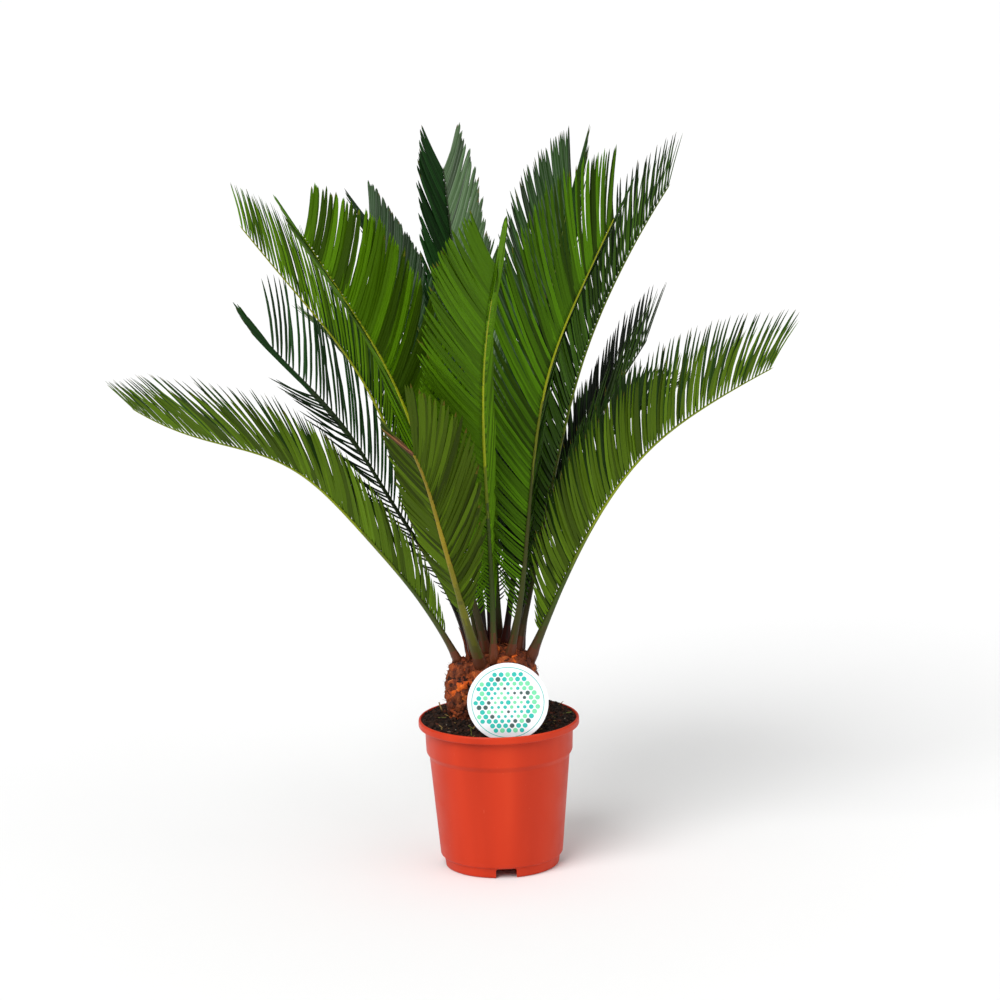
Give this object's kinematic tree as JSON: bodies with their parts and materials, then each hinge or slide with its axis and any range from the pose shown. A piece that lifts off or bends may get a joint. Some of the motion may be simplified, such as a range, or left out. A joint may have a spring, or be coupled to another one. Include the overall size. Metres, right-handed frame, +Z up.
{
  "type": "potted sago palm",
  "caption": "Young sago palm (Cycas revoluta) with arching feather-like fronds on a squat scaly trunk, planted in a round plastic nursery pot with a round plant label on a stake.",
  "frame": {"origin": "centre of the pot's flat underside", "axes": "+Z up the plant, -Y towards the front, where the plant label stands, +X to the right seen from the front"},
  "size_m": [0.7304, 0.6427, 0.7797],
  "materials": {
    "pot": "satin",
    "soil": "matte",
    "bark": "matte",
    "label": "satin",
    "stalk": "satin",
    "leaf_bright": "satin",
    "leaf_mid": "satin",
    "leaf_dark": "gloss",
    "leaf_olive": "satin",
    "dead_tip": "matte"
  },
  "bodies": {
    "root": {"pot": "pot", "soil": "soil", "trunk": "bark", "plant_label": "label", "frond_left_low": "leaf_mid", "frond_left_back": "leaf_dark", "frond_upper_left_outer": "leaf_bright", "frond_upper_left_front": "leaf_bright", "frond_front_short": "leaf_olive", "frond_front_tall": "leaf_bright", "frond_top_back": "leaf_dark", "frond_back_left": "leaf_dark", "frond_upper_right_front": "leaf_bright", "frond_right_tall": "leaf_dark", "frond_right_back": "leaf_dark", "frond_right_low": "leaf_mid", "frond_top_right_back": "leaf_dark", "frond_rear": "leaf_mid", "frond_rear_right": "leaf_mid", "frond_rear_left": "leaf_mid"}
  },
  "joints": []
}
